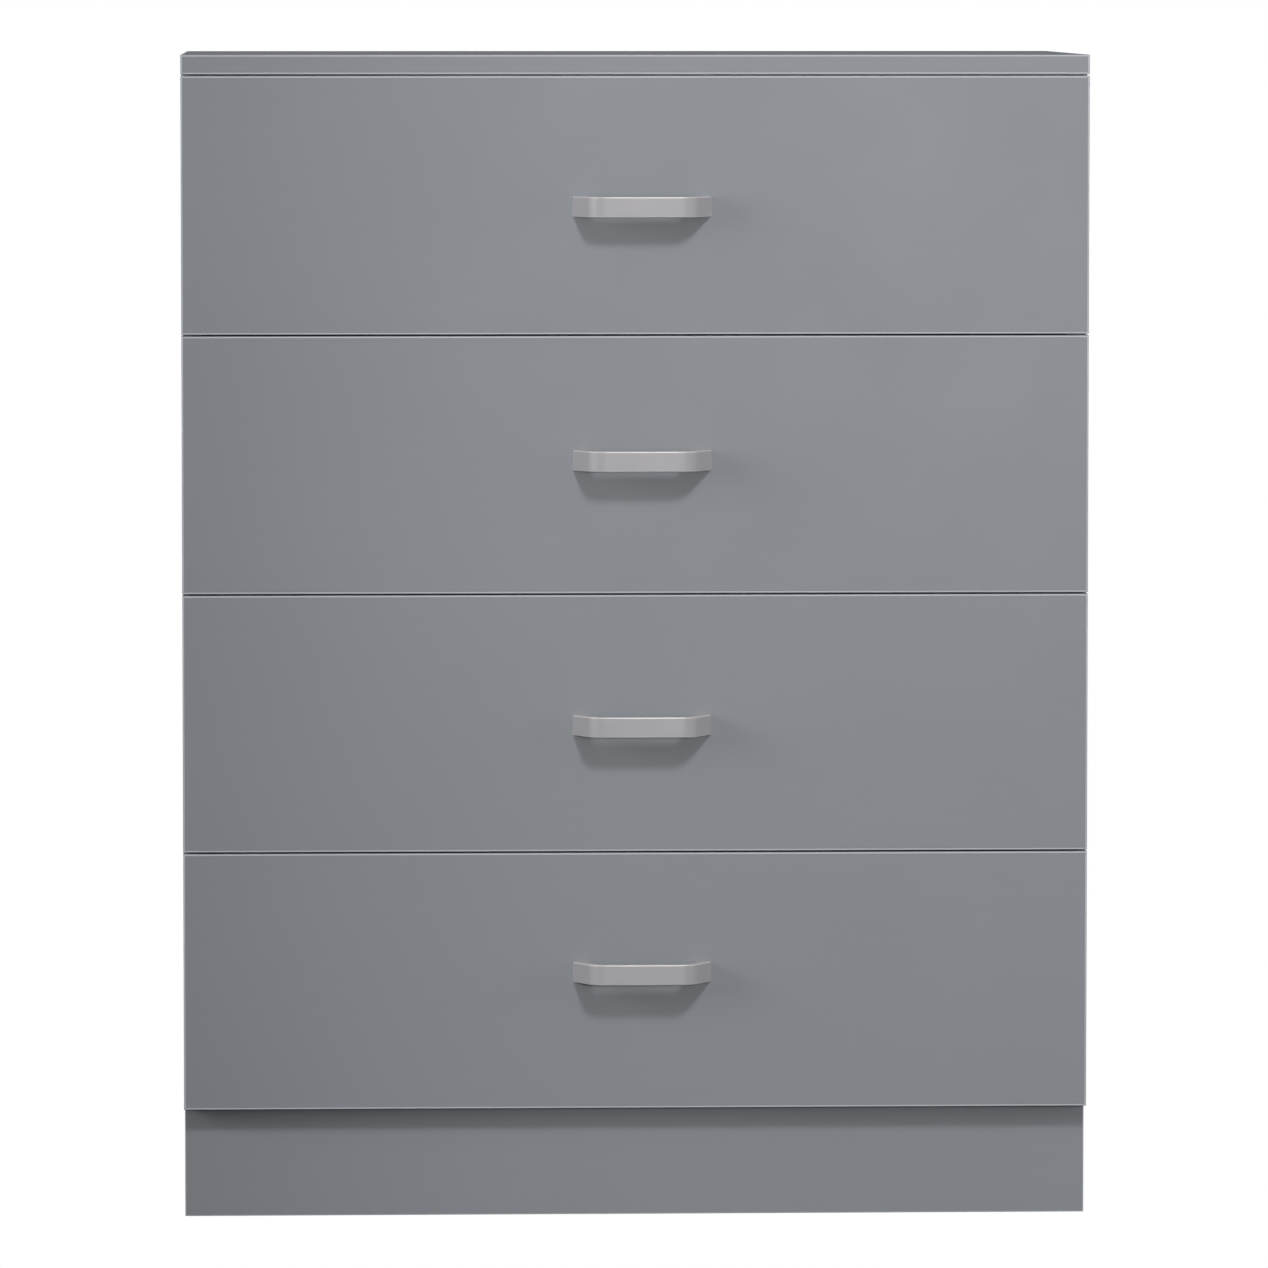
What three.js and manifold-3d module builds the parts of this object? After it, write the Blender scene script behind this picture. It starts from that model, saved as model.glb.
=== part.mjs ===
// Free-standing chest of four drawers in laminated board, with a recessed plinth, strap handles and
// roller runners.
//
// Millimetres, +Z up. The drawer fronts face -Y, and +X is to the right of someone who stands in front.
// The origin is on the floor, under the middle of the whole chest, handles included.
// Drawers are numbered from the top, and left and right are as seen from the front.

import * as THREE from "three";
import { mergeVertices } from "three/addons/utils/BufferGeometryUtils.js";
import Module from "manifold-3d";

const wasm = await Module();
wasm.setup();

// ---- Driving dimensions -------------------------------------------------------------------------------------

const WIDTH = 700; // top panel and drawer fronts
const DEPTH = 400; // faces of the drawer fronts to the rear edge of the top panel
const HEIGHT = 900; // underside of the plinth to the top surface
const DRAWERS = 4;
const FRONT_PITCH = 200; // from one drawer front to the next
const FRONT_SEAM = 1.25; // open line above each drawer front
const GLIDE_HEIGHT = 1.5; // the boards stand this far off the floor

const BOARD = 15; // carcass boards and drawer fronts
const THIN_BOARD = 12; // drawer sides and backs
const BASE_SHEET = 3; // hardboard drawer bases
const BACK_SHEET = 2.5; // hardboard back
const OVERHANG = 0.5; // top and fronts beyond the side panels
const FRONT_AIR = 1; // between a closed drawer front and the carcass edges
const BACK_RECESS = 1.5; // outer face of the back sheet inside the rear edge of the top

const PLINTH_HEIGHT = 95; // its upper 10 mm is behind the lowest drawer front
const RAIL_DEPTH = 60; // flat rails between the side panels
const REAR_RAIL_HEIGHT = 80;
const BACK_INSET = 1.5; // side edges of the back sheet inside the side panels' outer faces
const BACK_LIFT = 5; // lower edge of the back sheet above the panels' lower ends
const BACK_GAP = 1; // under the top panel
const GLIDE_SOLE = 4.5; // radius of the flat sole
const GLIDE_RIM = 6.5;
const GLIDE_PLACES = [["front", -130], ["rear", 185]]; // Y of each pair

const BOX_LENGTH = 350; // drawer sides
const BOX_HEIGHT = 140;
const BOX_LIFT = 22; // lower edge of a drawer front to the underside of its box
const BOX_CLEARANCE = 12.5; // drawer side to side panel, where the runners are
const GROOVE_DEPTH = 6; // takes the edge of the drawer base
const GROOVE_LIFT = 9.75; // underside of the box to the groove
const GROOVE_WIDTH = 3.5;

const HANDLE_LENGTH = 107;
const HANDLE_PROJECTION = 26;
const HANDLE_HEIGHT = 16;
const HANDLE_CENTRES = 96; // between the two fixing screws
const HANDLE_X = 4.75; // the handles sit a little to the right of the middle
const HANDLE_LIFTS = [-1, 3.5, -1.5, 6.75]; // above the middle of drawer fronts 1 to 4

const HANDLE_THICKNESS = 4.5;
const HANDLE_ROUNDING = 1;
const HANDLE_HOLE_RADIUS = 2.5;

const CAM_RADIUS = 7.5;
const CAM_INSET = 24; // from the joint that the cam pulls together
const PANEL_CAM_DEPTH = 12;
const DRAWER_CAM_DEPTH = 10;
const TOP_CAM_YS = [-110, 130];
const DRAWER_CAM_INSETS = { low: 36, high: 28 }; // from the lower and upper edges of a drawer side

const STEEL = 1.25; // runner sheet
const RUNNER_LENGTH = 350;
const RUNNER_SETBACK = 2; // a runner's front end behind the drawer front or the carcass edge
const WRAP_WIDTH = 11; // of the drawer runner, under the drawer side
const FLANGE_WIDTH = 8; // of the drawer runner, over the rollers
const FLANGE_LIFT = 15.5; // underside of the box to the underside of that flange
const CHANNEL_ROOF = 20.75; // inside of the cabinet channel's upper flange above the underside of the box
const CHANNEL_FLOOR = -2; // inside of its lower flange
const CHANNEL_LIP = 0.25; // top of the lip on that flange
const ROLLER_RADIUS = 8.25;
const ROLLER_WIDTH = 6.25;
const ROLLER_EDGE = 0.75; // chamfer
const ROLLER_GAP = 4; // drawer side to the inner face of every roller
const ROLLER_AIR = 0.25; // between a roller and the steel that it carries or rolls on
const FRONT_ROLLER_INSET = 14; // from the carcass edge
const REAR_ROLLER_INSET = 12; // from the drawer runner's rear end
const AXLE_RADIUS = 2;
const AXLE_CLEARANCE = 0.125;
const RIVET_HEAD = { radius: 3.75, height: 0.5 };

// ---- Places that follow from them ---------------------------------------------------------------------------

const faceY = HANDLE_PROJECTION - (DEPTH + HANDLE_PROJECTION) / 2;
const rearY = faceY + DEPTH;
const frontBackY = faceY + BOARD; // rear face of a drawer front
const carcassY = frontBackY + FRONT_AIR; // front edges of the side panels, and the plinth's face
const sheetY = rearY - BACK_RECESS - BACK_SHEET; // rear edges of the side panels
const floorZ = GLIDE_HEIGHT;
const topZ = floorZ + HEIGHT;
const underTopZ = topZ - BOARD;
const lowestFrontZ = underTopZ - DRAWERS * FRONT_PITCH;
const frontHeight = FRONT_PITCH - FRONT_SEAM;
const sideX = WIDTH / 2 - OVERHANG; // outer face of a side panel
const innerX = sideX - BOARD; // inner face of a side panel
const boxX = innerX - BOX_CLEARANCE; // outer face of a drawer side

// ---- Materials ----------------------------------------------------------------------------------------------

const finish = (color, roughness, metalness = 0) =>
  new THREE.MeshStandardMaterial({ color, roughness, metalness });
const greyBoard = finish(0x8d9095, 0.5);
const boxBoard = finish(0xb9bbbd, 0.55);
const hardboard = finish(0x9c7a58, 0.8);
const handleMetal = finish(0xb4b1b4, 0.35, 0.9);
const runnerSteel = finish(0xe4e4e0, 0.4);
const nylon = finish(0xf2f1ec, 0.45);
const glidePlastic = finish(0x6f6256, 0.5);

// ---- Shape helpers ------------------------------------------------------------------------------------------

function mesh(name, geometry, material) {
  const made = new THREE.Mesh(geometry, material);
  made.name = name;
  return made;
}

// A block between two corners.
function block([x0, y0, z0], [x1, y1, z1]) {
  return new THREE.BoxGeometry(x1 - x0, y1 - y0, z1 - z0)
    .translate((x0 + x1) / 2, (y0 + y1) / 2, (z0 + z1) / 2);
}

function outline(points) {
  return new THREE.Shape(points.map(([a, b]) => new THREE.Vector2(a, b)));
}

function extruded(shape, depth, bevel = {}) {
  return new THREE.ExtrudeGeometry(shape, { depth, bevelEnabled: false, ...bevel });
}

// A closed outline of [y, z] points, extruded along X from x0 to x1.
function alongX(points, x0, x1) {
  return extruded(outline(points), x1 - x0).rotateX(Math.PI / 2).rotateZ(Math.PI / 2).translate(x0, 0, 0);
}

// A closed outline of [x, z] points, extruded along Y from y0 to y1.
function alongY(points, y0, y1) {
  return extruded(outline(points), y1 - y0).rotateX(Math.PI / 2).translate(0, y1, 0);
}

// A body turned about X. Its profile is a closed list of [x, radius] points.
function turnedAboutX(profile, segments) {
  const points = [...profile, profile[0]].map(([x, radius]) => new THREE.Vector2(radius, x));
  return new THREE.LatheGeometry(points, segments).rotateZ(-Math.PI / 2);
}

function rod(radius, [x, y, z], length, segments = 16) {
  return new THREE.CylinderGeometry(radius, radius, length, segments).rotateZ(Math.PI / 2)
    .translate(x, y, z);
}

function toSolid(geometry) {
  const plain = geometry.clone();
  plain.deleteAttribute("normal");
  plain.deleteAttribute("uv");
  const merged = mergeVertices(plain, 1e-4);
  return new wasm.Manifold(new wasm.Mesh({
    numProp: 3,
    vertProperties: merged.attributes.position.array,
    triVerts: new Uint32Array(merged.index.array),
  }));
}

function toGeometry(solid) {
  const { vertProperties, triVerts } = solid.getMesh();
  const geometry = new THREE.BufferGeometry();
  geometry.setAttribute("position", new THREE.BufferAttribute(vertProperties, 3));
  geometry.setIndex(new THREE.BufferAttribute(triVerts, 1));
  return geometry;
}

const cut = (body, ...tools) =>
  toGeometry(tools.reduce((solid, tool) => solid.subtract(toSolid(tool)), toSolid(body)));

const join = (...bodies) =>
  toGeometry(bodies.map(toSolid).reduce((solid, body) => solid.add(body)));

// Turns a shape made for the right-hand side into the left-hand one.
function mirrored(geometry) {
  const plain = geometry.index ? geometry.toNonIndexed() : geometry.clone();
  const { position } = plain.attributes;
  for (let i = 0; i < position.count; i += 3) {
    const [a, b, c] = [0, 1, 2].map((k) => new THREE.Vector3().fromBufferAttribute(position, i + k));
    [a, c, b].forEach((v, k) => position.setXYZ(i + k, -v.x, v.y, v.z));
  }
  const made = new THREE.BufferGeometry();
  made.setAttribute("position", position);
  return made;
}

const SIDES = [["left", mirrored], ["right", (geometry) => geometry]];

// ---- Cam locks ----------------------------------------------------------------------------------------------

// A flat-bottomed hole for a cam, from a board's face at x into the board, towards +X for a positive depth.
// The cutting rod starts a little outside the face.
function camHole(x, y, z, depth) {
  const outside = Math.sign(depth);
  const start = x - outside;
  const end = x + depth;
  return rod(CAM_RADIUS, [(start + end) / 2, y, z], Math.abs(end - start), 24);
}

// ---- Carcass ------------------------------------------------------------------------------------------------

function sidePanel() {
  const notchY = carcassY + BOARD;
  const notchZ = floorZ + PLINTH_HEIGHT;
  const panel = alongX([
    [notchY, floorZ], [sheetY, floorZ], [sheetY, underTopZ],
    [carcassY, underTopZ], [carcassY, notchZ], [notchY, notchZ],
  ], innerX, sideX);
  return cut(panel, ...TOP_CAM_YS.map((y) => camHole(innerX, y, underTopZ - CAM_INSET, PANEL_CAM_DEPTH)));
}

// A domed disc with a flat sole, nailed under a side panel.
function glide() {
  const third = GLIDE_HEIGHT / 3;
  const profile = [
    [0, 0], [GLIDE_SOLE, 0], [GLIDE_RIM - third, third], [GLIDE_RIM, 2 * third],
    [GLIDE_RIM, GLIDE_HEIGHT], [0, GLIDE_HEIGHT],
  ];
  const points = profile.map(([radius, z]) => new THREE.Vector2(radius, z));
  return new THREE.LatheGeometry(points, 24).rotateX(Math.PI / 2);
}

function carcass() {
  const group = new THREE.Group();
  const board = (name, geometry) => group.add(mesh(name, geometry, greyBoard));
  const flatRail = (z) => block([-innerX, carcassY, z - BOARD], [innerX, carcassY + RAIL_DEPTH, z]);

  board("top_panel", block([-WIDTH / 2, faceY, underTopZ], [WIDTH / 2, rearY, topZ]));
  for (const [side, turn] of SIDES) board(`${side}_side_panel`, turn(sidePanel()));
  board("plinth_panel", block([-sideX, carcassY, floorZ], [sideX, carcassY + BOARD, floorZ + PLINTH_HEIGHT]));
  board("front_top_rail", flatRail(underTopZ));
  board("middle_rail", flatRail(lowestFrontZ + 2 * FRONT_PITCH));
  board("rear_bottom_rail", block(
    [-innerX, sheetY - BOARD, floorZ], [innerX, sheetY, floorZ + REAR_RAIL_HEIGHT],
  ));

  const backX = sideX - BACK_INSET;
  const back = block([-backX, sheetY, floorZ + BACK_LIFT], [backX, sheetY + BACK_SHEET, underTopZ - BACK_GAP]);
  group.add(mesh("back_panel", back, hardboard));

  for (const [end, y] of GLIDE_PLACES) {
    for (const [side, sign] of [["left", -1], ["right", 1]]) {
      const made = mesh(`glide_${end}_${side}`, glide(), glidePlastic);
      made.position.set(sign * (sideX - BOARD / 2), y, 0);
      group.add(made);
    }
  }
  return group;
}

// ---- Runners ------------------------------------------------------------------------------------------------
// All four runner pieces of a side share one section, in [x, z], whose z 0 is the underside of the drawer box.
// The drawer's flange rests on the cabinet's front roller, and the drawer's rear roller rests in the
// cabinet channel.

const rollerX = boxX + ROLLER_GAP; // inner face of every roller
const channelY = carcassY + RUNNER_SETBACK;
const sectionY = frontBackY + RUNNER_SETBACK;
const frontRollerY = carcassY + FRONT_ROLLER_INSET;
const frontRollerZ = FLANGE_LIFT - ROLLER_RADIUS - ROLLER_AIR;
const rearRollerY = sectionY + RUNNER_LENGTH - REAR_ROLLER_INSET;
const rearRollerZ = CHANNEL_FLOOR + ROLLER_RADIUS + ROLLER_AIR;

// An axle with a rivet head: the rod runs from wallX to headX, and the head stands past headX.
// Each end of the rod is sunk into the steel that it joins.
function rivet(wallX, headX, y, z) {
  const towards = Math.sign(headX - wallX);
  const sunk = RIVET_HEAD.height / 2;
  const shank = rod(AXLE_RADIUS, [(wallX + headX) / 2, y, z], Math.abs(headX - wallX) + 2 * sunk);
  const head = rod(RIVET_HEAD.radius, [headX + towards * sunk, y, z], RIVET_HEAD.height);
  return [shank, head];
}

function rollerBody(bore) {
  const side = ROLLER_RADIUS - ROLLER_EDGE;
  return turnedAboutX([
    [0, bore], [0, side], [ROLLER_EDGE, ROLLER_RADIUS], [ROLLER_WIDTH - ROLLER_EDGE, ROLLER_RADIUS],
    [ROLLER_WIDTH, side], [ROLLER_WIDTH, bore],
  ], 24);
}

// Channel screwed to a side panel, open towards the drawer, with the axle of its front roller.
function cabinetRunner() {
  const web = innerX - STEEL;
  const roofX = rollerX;
  const lipX = boxX + STEEL + 0.5; // clear of the drawer runner
  const channel = alongY([
    [innerX, CHANNEL_FLOOR - STEEL], [innerX, CHANNEL_ROOF + STEEL], [roofX, CHANNEL_ROOF + STEEL],
    [roofX, CHANNEL_ROOF], [web, CHANNEL_ROOF], [web, CHANNEL_FLOOR], [lipX + STEEL, CHANNEL_FLOOR],
    [lipX + STEEL, CHANNEL_LIP], [lipX, CHANNEL_LIP], [lipX, CHANNEL_FLOOR - STEEL],
  ], channelY, channelY + RUNNER_LENGTH);
  return join(channel, ...rivet(web, rollerX - RIVET_HEAD.height, frontRollerY, frontRollerZ));
}

// Section that wraps the lower edge of a drawer side, with its rear roller riveted on.
function drawerRunner() {
  const web = boxX + STEEL;
  const wrapX = boxX - WRAP_WIDTH;
  const flangeX = web + FLANGE_WIDTH;
  const section = alongY([
    [wrapX, -STEEL], [web, -STEEL], [web, FLANGE_LIFT], [flangeX, FLANGE_LIFT],
    [flangeX, FLANGE_LIFT + STEEL], [boxX, FLANGE_LIFT + STEEL], [boxX, 0], [wrapX, 0],
  ], sectionY, sectionY + RUNNER_LENGTH);
  const boreInsideAxle = AXLE_RADIUS / 2;
  const roller = rollerBody(boreInsideAxle).translate(rollerX, rearRollerY, rearRollerZ);
  return join(section, ...rivet(web, rollerX + ROLLER_WIDTH, rearRollerY, rearRollerZ), roller);
}

// ---- Drawers ------------------------------------------------------------------------------------------------
// A drawer is made with the lower edge of its front at z 0.

const grooveZ = BOX_LIFT + GROOVE_LIFT;
const drawerCamZs = [BOX_LIFT + DRAWER_CAM_INSETS.low, BOX_LIFT + BOX_HEIGHT - DRAWER_CAM_INSETS.high];

function drawerFront(handleZ) {
  const board = block([-WIDTH / 2, faceY, 0], [WIDTH / 2, frontBackY, frontHeight]);
  const grooveX = boxX - THIN_BOARD + GROOVE_DEPTH;
  const groove = block(
    [-grooveX, frontBackY - GROOVE_DEPTH, grooveZ],
    [grooveX, frontBackY + 1, grooveZ + GROOVE_WIDTH],
  );
  const holes = [-1, 1].map((sign) =>
    new THREE.CylinderGeometry(HANDLE_HOLE_RADIUS, HANDLE_HOLE_RADIUS, BOARD + 2, 16)
      .translate(HANDLE_X + sign * HANDLE_CENTRES / 2, frontBackY - BOARD / 2, handleZ));
  return cut(board, groove, ...holes);
}

// The right-hand side. Its groove is open at both ends, and its cams pull the drawer front on.
function drawerSide() {
  const inner = boxX - THIN_BOARD;
  const low = BOX_LIFT;
  const high = BOX_LIFT + BOX_HEIGHT;
  const side = alongY([
    [inner, low], [boxX, low], [boxX, high], [inner, high],
    [inner, grooveZ + GROOVE_WIDTH], [inner + GROOVE_DEPTH, grooveZ + GROOVE_WIDTH],
    [inner + GROOVE_DEPTH, grooveZ], [inner, grooveZ],
  ], frontBackY, frontBackY + BOX_LENGTH);
  return cut(side, ...drawerCamZs.map((z) => camHole(boxX, frontBackY + CAM_INSET, z, -DRAWER_CAM_DEPTH)));
}

function drawerBack() {
  const inner = boxX - THIN_BOARD;
  const y = frontBackY + BOX_LENGTH;
  return block([-inner, y - THIN_BOARD, grooveZ + GROOVE_WIDTH], [inner, y, BOX_LIFT + BOX_HEIGHT]);
}

function drawerBase() {
  const play = 0.5; // at each edge, in the groove
  const x = boxX - THIN_BOARD + GROOVE_DEPTH - play;
  const z = grooveZ + (GROOVE_WIDTH - BASE_SHEET) / 2;
  return block(
    [-x, frontBackY - GROOVE_DEPTH + play, z],
    [x, frontBackY + BOX_LENGTH - 2 * play, z + BASE_SHEET],
  );
}

// A strap that leaves the drawer front at two solid feet, slopes inwards and bends into a straight bar.
// Its outline lies in XY, with the feet on y 0 and the bar towards -Y, and rises HANDLE_HEIGHT along Z.
function handle() {
  const footX = HANDLE_LENGTH / 2;
  const bar = { out: HANDLE_PROJECTION, in: HANDLE_PROJECTION - HANDLE_THICKNESS };
  const corner = { out: footX - 16, in: footX - 20 }; // where leg and bar would meet without a bend
  const bend = { out: 10, in: 7 }; // how far before and after that corner the curve starts and ends
  const footWidth = HANDLE_LENGTH - HANDLE_CENTRES;
  const shape = new THREE.Shape();

  // A point on the leg, `back` millimetres before the corner.
  const onLeg = (foot, cornerX, y, back) => {
    const leg = Math.hypot(foot - cornerX, y);
    return [cornerX + (foot - cornerX) * back / leg, y - y * back / leg];
  };
  const outerLeg = onLeg(footX, corner.out, bar.out, bend.out);
  const innerLeg = onLeg(footX - footWidth, corner.in, bar.in, bend.in);

  shape.moveTo(-footX, 0);
  shape.lineTo(-outerLeg[0], -outerLeg[1]);
  shape.quadraticCurveTo(-corner.out, -bar.out, -corner.out + bend.out, -bar.out);
  shape.lineTo(corner.out - bend.out, -bar.out);
  shape.quadraticCurveTo(corner.out, -bar.out, outerLeg[0], -outerLeg[1]);
  shape.lineTo(footX, 0);
  shape.lineTo(footX - footWidth, 0);
  shape.lineTo(innerLeg[0], -innerLeg[1]);
  shape.quadraticCurveTo(corner.in, -bar.in, corner.in - bend.in, -bar.in);
  shape.lineTo(-corner.in + bend.in, -bar.in);
  shape.quadraticCurveTo(-corner.in, -bar.in, -innerLeg[0], -innerLeg[1]);
  shape.lineTo(-footX + footWidth, 0);
  shape.closePath();

  const strap = extruded(shape, HANDLE_HEIGHT - 2 * HANDLE_ROUNDING, {
    bevelEnabled: true, bevelThickness: HANDLE_ROUNDING, bevelSize: HANDLE_ROUNDING,
    bevelOffset: -HANDLE_ROUNDING, bevelSegments: 2, curveSegments: 6,
  });
  return strap.translate(0, 0, HANDLE_ROUNDING - HANDLE_HEIGHT / 2);
}

function drawer(number) {
  const group = new THREE.Group();
  const part = (name, geometry, material) => group.add(mesh(`drawer_${number}_${name}`, geometry, material));
  const handleZ = frontHeight / 2 + HANDLE_LIFTS[number - 1];

  part("front", drawerFront(handleZ), greyBoard);
  part("back", drawerBack(), boxBoard);
  part("base", drawerBase(), hardboard);
  for (const [side, turn] of SIDES) {
    part(`${side}_side`, turn(drawerSide()), boxBoard);
    part(`runner_${side}`, turn(drawerRunner().translate(0, 0, BOX_LIFT)), runnerSteel);
  }
  const strap = mesh(`drawer_${number}_handle`, handle(), handleMetal);
  strap.position.set(HANDLE_X, faceY, handleZ);
  group.add(strap);
  return group;
}

// ---- Assembly -----------------------------------------------------------------------------------------------

const chest = new THREE.Group();
chest.add(carcass());

for (let number = 1; number <= DRAWERS; number++) {
  const frontZ = lowestFrontZ + (DRAWERS - number) * FRONT_PITCH;
  const moving = drawer(number);
  moving.position.z = frontZ;
  chest.add(moving);

  for (const [side, turn] of SIDES) {
    const fixed = new THREE.Group();
    fixed.position.z = frontZ + BOX_LIFT;
    const roller = rollerBody(AXLE_RADIUS + AXLE_CLEARANCE).translate(rollerX, frontRollerY, frontRollerZ);
    fixed.add(mesh(`cabinet_runner_${number}_${side}`, turn(cabinetRunner()), runnerSteel));
    fixed.add(mesh(`runner_roller_${number}_${side}`, turn(roller), nylon));
    chest.add(fixed);
  }
}

export default chest;
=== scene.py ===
"""Looks of a free-standing chest of four drawers.

Laminated boards, strap handles, roller runners and fasteners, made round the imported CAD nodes.
"""
import math
import random

import bmesh
import bpy
from mathutils import Matrix, Vector


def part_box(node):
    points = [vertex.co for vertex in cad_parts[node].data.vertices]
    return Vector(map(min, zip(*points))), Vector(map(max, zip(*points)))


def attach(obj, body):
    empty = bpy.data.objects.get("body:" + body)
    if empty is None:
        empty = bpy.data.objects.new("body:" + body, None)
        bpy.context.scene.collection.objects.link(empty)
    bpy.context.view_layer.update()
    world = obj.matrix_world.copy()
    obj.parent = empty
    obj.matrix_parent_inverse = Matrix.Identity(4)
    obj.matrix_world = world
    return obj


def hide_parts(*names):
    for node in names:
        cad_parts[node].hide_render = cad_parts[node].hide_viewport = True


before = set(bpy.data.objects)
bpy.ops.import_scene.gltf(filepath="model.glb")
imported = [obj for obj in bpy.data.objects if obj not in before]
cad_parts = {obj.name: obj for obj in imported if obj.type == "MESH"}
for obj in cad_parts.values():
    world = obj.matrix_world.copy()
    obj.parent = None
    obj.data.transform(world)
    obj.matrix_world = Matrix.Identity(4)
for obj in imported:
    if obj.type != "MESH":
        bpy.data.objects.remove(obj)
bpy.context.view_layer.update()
RNG = random.Random(7)
MM = 0.001

# ---- Sizes, in metres, that the looks need and the CAD boxes don't give ----------------------------

DRAWERS = (1, 2, 3, 4)
SIDES = {"left": -1, "right": 1}

ARRIS_HIGHLIGHT_WIDTH = 1.3 * MM  # width of the painted highlight line along each arris of a board
PLINTH_HIGHLIGHT_WIDTH = 0.7 * MM
EDGE_RADIUS = 0.35 * MM
BASE_EDGE_RADIUS = 0.3 * MM  # of the drawer bases

HANDLE_CENTRES = 96 * MM  # between the two fixing screws
HANDLE_THICKNESS = 4.5 * MM
HANDLE_FOOT = 11 * MM  # width of a foot on the drawer front
HANDLE_RIM_RADIUS = 1.0 * MM
# A bend of the strap: its corner from the handle's end, and how far it reaches each way from the corner.
OUTER_BEND = {"inset": 16 * MM, "reach": 10 * MM}
INNER_BEND = {"inset": 20 * MM, "reach": 7 * MM}
BEND_STEPS = 14

WASHER_RADIUS = 4.6 * MM
WASHER_HEIGHT = 0.9 * MM
HANDLE_SCREW_HEAD = (3.6 * MM, 2.3 * MM)  # radius and height, as in the other heads
SIDE_SCREW_HEAD = (2.6 * MM, 1.1 * MM)  # drawer runner to drawer side
PANEL_SCREW_HEAD = (3.2 * MM, 0.6 * MM)  # cabinet runner to side panel
HEAD_SINK = 0.3 * MM  # a head's rim starts this far under the face that it stands on
CROSS_RISE = 0.06 * MM  # a cross of painted recess shade above the metal that it lies in

CAM_RADIUS = 7.4 * MM
CAM_DEPTH = 9 * MM
CAM_INSET = 24 * MM  # from the joint that the cam pulls together
TOP_CAM_YS = {"front": -110 * MM, "rear": 130 * MM}
DRAWER_CAM_INSETS = {"lower": 36 * MM, "upper": 28 * MM}  # from those edges of the drawer side

NAIL_ROWS = 9  # up each side edge of the back sheet
NAIL_COLUMNS = 4  # along its upper and lower edges
NAIL_INSET = 6 * MM
NAIL_END_INSET = 20 * MM  # of the first and last row
NAIL_FOOT_INSET = 30 * MM  # of the lower edge's nails, which go into the rear rail

STEEL = 1.25 * MM  # runner sheet
FOLD_RADIUS = 0.9 * MM  # on the outside of a fold
FOLD_INNER_RADIUS = 0.36 * MM
FOLD_STEPS = 4
RUNNER_LENGTH = 350 * MM
RUNNER_WRAP = 11 * MM  # of the drawer runner, under the drawer side
FLANGE_LIFT = 15.5 * MM  # underside of the box to the flange over the rollers
FLANGE_WIDTH = 8 * MM
CHANNEL_LIP = {"gap": 0.5 * MM, "top": 0.25 * MM}  # to the drawer runner, and above the box's underside
AXLE_RADIUS = 2 * MM
ROLLER_RADIUS = 8.25 * MM
ROLLER_WIDTH = 6.25 * MM
ROLLER_GAP = 4 * MM  # drawer side to the inner face of every roller
# Lifts are above the underside of the box, and head is the radius of the riveted end.
REAR_AXLE = {"inset": 12 * MM, "lift": 6.5 * MM, "length": 9 * MM, "head": 3.6 * MM}
FRONT_AXLE = {"proud": 0.5 * MM, "lift": 7 * MM, "head": 3.7 * MM}  # proud of the roller's inner face
SIDE_SCREW_YS = (40 * MM, 150 * MM, 290 * MM)  # from the front end of the runner
SIDE_SCREW_INSET = 6.5 * MM  # from the outer face of the drawer side
PANEL_SCREW_YS = (60 * MM, 170 * MM, 300 * MM)
PANEL_SCREW_LIFT = 8 * MM

GLIDE_SOLE = 4.5 * MM  # radius


# ---- Material helpers ------------------------------------------------------------------------------

NOISE_CORE = (0.3, 0.7)  # nearly all of a noise's values lie between these


def new_material(name):
    """A material with an empty Principled shader. Returns (material, nodes, links, shader)."""
    material = bpy.data.materials.new(name)
    material.use_nodes = True
    tree = material.node_tree
    return material, tree.nodes, tree.links, tree.nodes["Principled BSDF"]


def noise(nodes, links, scale, detail=3.0, stretch=(1, 1, 1), roughness=0.5):
    """Noise in the piece's own coordinates. Returns the value socket, which runs from about 0 to 1."""
    coords = nodes.new("ShaderNodeTexCoord")
    mapping = nodes.new("ShaderNodeMapping")
    mapping.inputs["Scale"].default_value = stretch
    texture = nodes.new("ShaderNodeTexNoise")
    texture.inputs["Scale"].default_value = scale
    texture.inputs["Detail"].default_value = detail
    texture.inputs["Roughness"].default_value = roughness
    links.new(coords.outputs["Object"], mapping.inputs["Vector"])
    links.new(mapping.outputs["Vector"], texture.inputs["Vector"])
    return texture.outputs["Fac"]


def remap(nodes, links, source, low, high, out_low, out_high):
    """The source's range low..high turned into out_low..out_high, clamped."""
    node = nodes.new("ShaderNodeMapRange")
    sockets = ("From Min", "From Max", "To Min", "To Max")
    for socket, value in zip(sockets, (low, high, out_low, out_high)):
        node.inputs[socket].default_value = value
    links.new(source, node.inputs["Value"])
    return node.outputs["Result"]


def spread(nodes, links, source, out_low, out_high):
    """The core of a noise's range turned into out_low..out_high, clamped."""
    return remap(nodes, links, source, *NOISE_CORE, out_low, out_high)


def mix_colour(nodes, links, factor, first, second):
    """A colour between first and second. Each is a socket or an (r, g, b)."""
    node = nodes.new("ShaderNodeMix")
    node.data_type = "RGBA"
    links.new(factor, node.inputs["Factor"])
    for socket, value in ((node.inputs[6], first), (node.inputs[7], second)):
        if isinstance(value, tuple):
            socket.default_value = (*value, 1)
        else:
            links.new(value, socket)
    return node.outputs[2]


def edge_mask(nodes, links, radius):
    """1 on rounded or sharp edges, 0 on flat faces."""
    bevel = nodes.new("ShaderNodeBevel")
    bevel.samples = 4
    bevel.inputs["Radius"].default_value = radius
    geometry = nodes.new("ShaderNodeNewGeometry")
    dot = nodes.new("ShaderNodeVectorMath")
    dot.operation = "DOT_PRODUCT"
    links.new(bevel.outputs["Normal"], dot.inputs[0])
    links.new(geometry.outputs["True Normal"], dot.inputs[1])
    return remap(nodes, links, dot.outputs["Value"], 0.98, 0.75, 0, 1)


def bump(nodes, links, shader, height, distance, strength):
    node = nodes.new("ShaderNodeBump")
    node.inputs["Strength"].default_value = strength
    node.inputs["Distance"].default_value = distance
    links.new(height, node.inputs["Height"])
    links.new(node.outputs["Normal"], shader.inputs["Normal"])


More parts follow.
